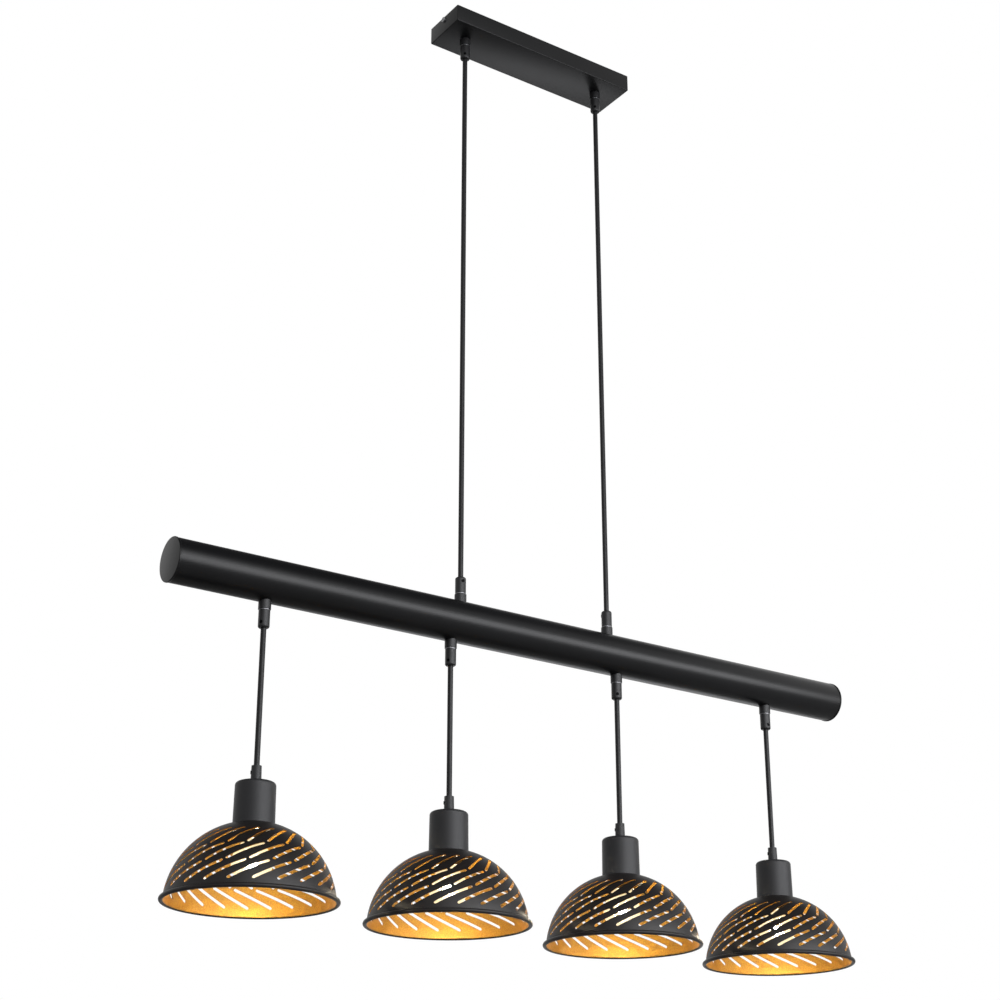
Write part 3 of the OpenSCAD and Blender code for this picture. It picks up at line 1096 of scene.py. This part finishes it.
@dataclass(frozen=True)
class Dash:
    """One slot of the shade, between two latitudes in degrees."""

    low: float
    high: float
    sweep: float
    width: float
    radius: float
    tip_margin: float = 3.0
    thirds: int = 60
    halvings: int = 40

    def gap(self, longitude: float, latitude: float) -> float:
        """Measure the distance from the slot's outline, negative inside it.

        Args:
            longitude: degrees from the slot's own middle.
            latitude: degrees above the dome's equator.

        Returns:
            The distance in millimetres, across the slot's own plane.
        """
        start = self.flat(-self.sweep / 2.0, self.low)
        end = self.flat(self.sweep / 2.0, self.high)
        along = (end - start).normalized()
        run = (end - start).length - self.width
        offset = self.flat(longitude, latitude) - (start + end) / 2.0
        reach = max(-run / 2.0, min(run / 2.0, offset.dot(along)))
        return (offset - along * reach).length - self.width / 2.0

    def flat(self, longitude: float, latitude: float) -> Vector:
        """Project a point of the dome on the plane that touches it at the slot's middle.

        Args:
            longitude: degrees from the slot's own middle.
            latitude: degrees above the dome's equator.

        Returns:
            The point in that plane, across and up.
        """
        middle = math.radians((self.low + self.high) / 2.0)
        lon, lat = math.radians(longitude), math.radians(latitude)
        across = math.cos(lat) * math.sin(lon)
        up = math.sin(lat) * math.cos(middle) - math.cos(lat) * math.sin(middle) * math.cos(lon)
        return Vector((across, up)) * self.radius

    def deepest(self, latitude: float) -> float:
        """Find where a parallel lies deepest in the slot.

        Args:
            latitude: the parallel, in degrees.

        Returns:
            The longitude there, in degrees.
        """
        left, right = -self.sweep, self.sweep
        for _ in range(self.thirds):
            third = (right - left) / 3.0
            if self.gap(left + third, latitude) < self.gap(right - third, latitude):
                right -= third
            else:
                left += third
        return (left + right) / 2.0

    def reach(self, latitude: float) -> tuple[float, float]:
        """Find where a parallel enters and leaves the slot.

        Args:
            latitude: the parallel, in degrees.

        Returns:
            The two longitudes, in degrees.
        """
        middle = self.deepest(latitude)
        ends = []
        for sign in (-1.0, 1.0):
            inner, outer = 0.0, self.sweep
            for _ in range(self.halvings):
                half = (inner + outer) / 2.0
                if self.gap(middle + sign * half, latitude) < 0.0:
                    inner = half
                else:
                    outer = half
            ends.append(middle + sign * inner)
        return ends[0], ends[1]

    def tip(self, upper: bool) -> float:
        """Find the latitude of one of the slot's tips.

        Args:
            upper: True for the upper tip.

        Returns:
            The latitude, in degrees.
        """
        inner = (self.low + self.high) / 2.0
        outer = self.high + self.tip_margin if upper else self.low - self.tip_margin
        for _ in range(self.halvings):
            half = (inner + outer) / 2.0
            if self.gap(self.deepest(half), half) < 0.0:
                inner = half
            else:
                outer = half
        return inner


@dataclass(frozen=True)
class Course:
    """One ring of the shade's mesh: a latitude and one slot's two edges on it."""

    latitude: float
    left: float
    right: float


@dataclass
class Shade:
    """Slotted dome shade with its rolled rim."""

    diameter: float = 194.4
    centre_drop: float = 7.7
    sheet: float = 1.0
    roll: float = 5.0
    roll_segments: int = 24
    rim_steps: int = 160
    top_hole: float = 17.8
    cap_radius: float = 23.2
    cap_clearance: float = 0.1
    lines: int = 22
    slot_width: float = 3.2
    rows: tuple[tuple[float, float], ...] = ((9.8, 22.6), (23.6, 36.8), (37.8, 55.0))
    sweep: float = 28.0
    bridge: float = 2.2
    phase: float = -1.7
    gold_edge: float = 0.25
    dash_steps: int = 16
    web_steps: int = 5
    skirt_steps: int = 4
    crown_steps: int = 9
    slot_weld: float = 1e-3
    nearness: float = 0.05

    @property
    def dome_radius(self) -> float:
        """Radius of the dome's outside."""
        wall = self.diameter / 2.0 - self.roll + self.sheet
        return math.hypot(wall, self.centre_drop)

    @property
    def flat_radius(self) -> float:
        """Radius of the flat top."""
        return self.cap_radius + self.cap_clearance

    @property
    def flat_height(self) -> float:
        """Height of the flat top above the dome's centre."""
        return math.sqrt(self.dome_radius**2 - self.flat_radius**2)

    def courses(self) -> list[Course]:
        """Work out the mesh's rings from the rim to the flat top.

        Returns:
            The rings, lowest first.
        """
        rim = math.degrees(math.asin(self.centre_drop / self.dome_radius))
        crown = math.degrees(math.asin(self.flat_height / self.dome_radius))
        rings: list[Course] = []
        for row, (low, high) in enumerate(self.rows):
            dash = Dash(low, high, self.sweep, self.slot_width, self.dome_radius)
            shift = self.phase + self.sweep / 2.0 + row * (self.sweep + self.bridge)
            foot, head = dash.tip(False), dash.tip(True)
            for step in range(self.dash_steps + 1):
                share = (1.0 - math.cos(math.pi * step / self.dash_steps)) / 2.0
                latitude = foot + (head - foot) * share
                left, right = dash.reach(latitude)
                if step in (0, self.dash_steps):
                    left = right = dash.deepest(latitude)
                rings.append(Course(latitude, shift + left, shift + right))
        first, last = rings[0], rings[-1]
        below = [
            Course(rim + (first.latitude - rim) * step / self.skirt_steps, first.left, first.left)
            for step in range(self.skirt_steps)
        ]
        above = [
            Course(last.latitude + (crown - last.latitude) * step / self.crown_steps, last.left, last.left)
            for step in range(1, self.crown_steps + 1)
        ]
        return below + rings + above

    def shell(self) -> bmesh.types.BMesh:
        """Make the slotted dome with its wall.

        The mesh is one grid. Its column over each line of slots is taken out, and the two
        sides of that column are welded again wherever no slot parts them.

        Returns:
            The shell about the dome's centre; black faces are material 0 and gold ones 1.
        """
        courses = self.courses()
        columns = self.lines * (self.web_steps + 1)
        mesh = bmesh.new()
        bmesh.ops.create_grid(mesh, x_segments=columns, y_segments=len(courses) - 1, size=1.0)
        spare = [
            f
            for f in mesh.faces
            if int((f.calc_center_median().x + 1.0) / 2.0 * columns) % (self.web_steps + 1) == 0
        ]
        bmesh.ops.delete(mesh, geom=spare, context="FACES_ONLY")
        pitch = 360.0 / self.lines
        for vert in mesh.verts:
            column = round((vert.co.x + 1.0) / 2.0 * columns)
            course = courses[round((vert.co.y + 1.0) / 2.0 * (len(courses) - 1))]
            line, place = divmod(column, self.web_steps + 1)
            longitude = course.left
            if place > 0:
                web = pitch + course.left - course.right
                longitude = course.right + web * (place - 1) / self.web_steps
            vert.co = self.on_dome(longitude + line * pitch, course.latitude)
        bmesh.ops.remove_doubles(mesh, verts=mesh.verts[:], dist=self.slot_weld)
        loose = [e for e in mesh.edges if not e.link_faces]
        bmesh.ops.delete(mesh, geom=loose, context="EDGES")
        bmesh.ops.recalc_face_normals(mesh, faces=mesh.faces[:])
        self.close_top(mesh)
        self.thicken(mesh)
        return mesh

    def on_dome(self, longitude: float, latitude: float) -> Vector:
        """Place a point on the dome's outside.

        Args:
            longitude: degrees round the dome's axis.
            latitude: degrees above the dome's equator.

        Returns:
            The point about the dome's centre.
        """
        lon, lat = math.radians(longitude), math.radians(latitude)
        level = math.cos(lat)
        return Vector((level * math.cos(lon), level * math.sin(lon), math.sin(lat))) * self.dome_radius

    def close_top(self, mesh: bmesh.types.BMesh) -> None:
        """Add the flat ring on which the cap sits.

        Args:
            mesh: the dome before it has its thickness.
        """
        floor = self.flat_height - self.nearness
        edge = [e for e in mesh.edges if e.is_boundary and min(v.co.z for v in e.verts) > floor]
        grown = bmesh.ops.extrude_edge_only(mesh, edges=edge)["geom"]
        inner = [v for v in grown if isinstance(v, bmesh.types.BMVert)]
        share = self.top_hole / self.flat_radius
        bmesh.ops.scale(mesh, vec=(share, share, 1.0), verts=inner)
        bmesh.ops.recalc_face_normals(mesh, faces=mesh.faces[:])

    def thicken(self, mesh: bmesh.types.BMesh) -> None:
        """Give the dome its wall, black outside and gold inside and in the slots.

        Args:
            mesh: the dome's outside.
        """
        outside = set(mesh.faces)
        grown = bmesh.ops.extrude_face_region(mesh, geom=mesh.faces[:], use_keep_orig=True)["geom"]
        inner = [v for v in grown if isinstance(v, bmesh.types.BMVert)]
        share = 1.0 - self.sheet / self.dome_radius
        bmesh.ops.scale(mesh, vec=(share, share, share), verts=inner)
        for face in set(mesh.faces) - outside:
            face.material_index = 1
        bmesh.ops.recalc_face_normals(mesh, faces=mesh.faces[:])

    def rim(self) -> bmesh.types.BMesh:
        """Make the rolled rim.

        Returns:
            The rim about the dome's centre; black faces are material 0 and gold ones 1.
        """
        mesh = bmesh.new()
        bmesh.ops.create_circle(mesh, segments=self.roll_segments, radius=self.roll / 2.0)
        rotate(mesh, 90.0, "X")
        move(mesh, self.diameter / 2.0 - self.roll / 2.0, 0.0, self.centre_drop)
        bmesh.ops.spin(
            mesh,
            geom=mesh.verts[:] + mesh.edges[:],
            cent=ORIGIN,
            axis=(0.0, 0.0, 1.0),
            angle=math.tau,
            steps=self.rim_steps,
            use_merge=True,
        )
        bmesh.ops.recalc_face_normals(mesh, faces=mesh.faces[:])
        for face in mesh.faces:
            centre = face.calc_center_median()
            inside = math.hypot(centre.x, centre.y) < (self.diameter - self.roll) / 2.0
            face.material_index = int(inside and centre.z > self.centre_drop - self.roll * self.gold_edge)
        return mesh


@dataclass
class Pendant:
    """One drop: gland body, cord grip, cap, lampholder, shade and lit bulb."""

    layout: Layout
    number: int
    shade: Shade = field(default_factory=Shade)
    bulb_radius: float = 22.5
    bulb_centre: float = -42.0
    bulb_top: float = -16.0
    bulb_arc: float = 135.0
    bulb_arc_steps: int = 30
    bulb_steps: int = 64
    neck_radius: float = 12.6
    neck_length: float = 5.0
    neck_fillet: float = 3.0
    core_radius: float = 5.0
    core_round: float = 0.9
    core_steps: int = 48
    stem_radius: float = 3.0
    nearness: float = 0.01

    def build(self) -> None:
        """Make the shade and bulb and dress the rest."""
        number, x = self.number, self.layout.pendant_x(self.number)
        body, bulb = f"pendant_{number}", f"bulb_{number}"
        dome_z = self.layout.bar_z - self.layout.rim_drop - self.shade.centre_drop
        flat_z = dome_z + self.shade.flat_height
        shell = self.shade.shell()
        move(shell, x, 0.0, dome_z)
        settle(shell, f"shade_shell_{number}", [Coat.SHADE, Coat.GOLD], body, [f"shade_{number}"])
        rim = self.shade.rim()
        move(rim, x, 0.0, dome_z)
        settle(rim, f"shade_rim_{number}", [Coat.SHADE, Coat.GOLD], body)
        glass = self.glass()
        move(glass, x, 0.0, flat_z)
        settle(glass, f"bulb_globe_{number}", [Coat.GLASS], bulb, [f"bulb_glass_{number}"])
        core = self.core()
        move(core, x, 0.0, flat_z)
        settle(core, f"bulb_core_{number}", [Coat.CORE, Coat.GLASS], bulb)
        ring = GrooveRing().build(x, self.layout.bar_underside, Stance.HANGS)
        settle(ring, f"drop_groove_ring_{number}", [Coat.RING], body)
        dress(Coat.GLAND, f"drop_swivel_{number}")
        dress(Coat.CAP, f"cord_grip_{number}", f"holder_cap_{number}")
        dress(Coat.HOLDER, f"lampholder_{number}", f"shade_ring_{number}")
        dress(Coat.CLAMP, f"clamp_screws_{number}")
        dress(Coat.BRASS, f"holder_contacts_{number}")
        dress(Coat.BULB_METAL, f"bulb_base_{number}")

    def glass(self) -> bmesh.types.BMesh:
        """Make the bulb's glass: a globe with a short neck.

        Returns:
            The glass below the flat top of its shade.
        """
        radius = self.bulb_radius
        outline = [Corner(0.0, self.bulb_centre - radius)]
        for step in range(1, self.bulb_arc_steps + 1):
            angle = math.radians(-90.0 + self.bulb_arc * step / self.bulb_arc_steps)
            outline.append(Corner(radius * math.cos(angle), self.bulb_centre + radius * math.sin(angle)))
        outline += [
            Corner(self.neck_radius, self.bulb_top - self.neck_length, self.neck_fillet),
            Corner(self.neck_radius, self.bulb_top),
            Corner(0.0, self.bulb_top),
        ]
        return turn(outline, self.bulb_steps)

    def core(self) -> bmesh.types.BMesh:
        """Make the bulb's glowing core on its stem.

        Returns:
            The core below the flat top; glowing faces are material 0 and the stem's are 1.
        """
        radius, fillet = self.core_radius, self.core_radius * self.core_round
        low, high = self.bulb_centre - radius, self.bulb_centre + radius
        outline = [
            Corner(0.0, low),
            Corner(radius, low, fillet),
            Corner(radius, high, fillet),
            Corner(self.stem_radius, high),
            Corner(self.stem_radius, self.bulb_top),
            Corner(0.0, self.bulb_top),
        ]
        mesh = turn(outline, self.core_steps)
        for face in mesh.faces:
            face.material_index = int(face.calc_center_median().z > high + self.nearness)
        return mesh


def write_sizes() -> None:
    """Update the view layer once everything is built."""
    bpy.context.view_layer.update()


def main() -> None:
    """Build the lamp and its studio in order."""
    logging.basicConfig(level=logging.INFO, format="%(name)s: %(message)s")
    layout = Layout()
    Studio().build()
    Cordage(layout).build()
    Canopy(layout).build()
    Bar(layout).build()
    for number in range(1, layout.pendants + 1):
        Pendant(layout, number).build()
    write_sizes()


if __name__ == "__main__":
    main()
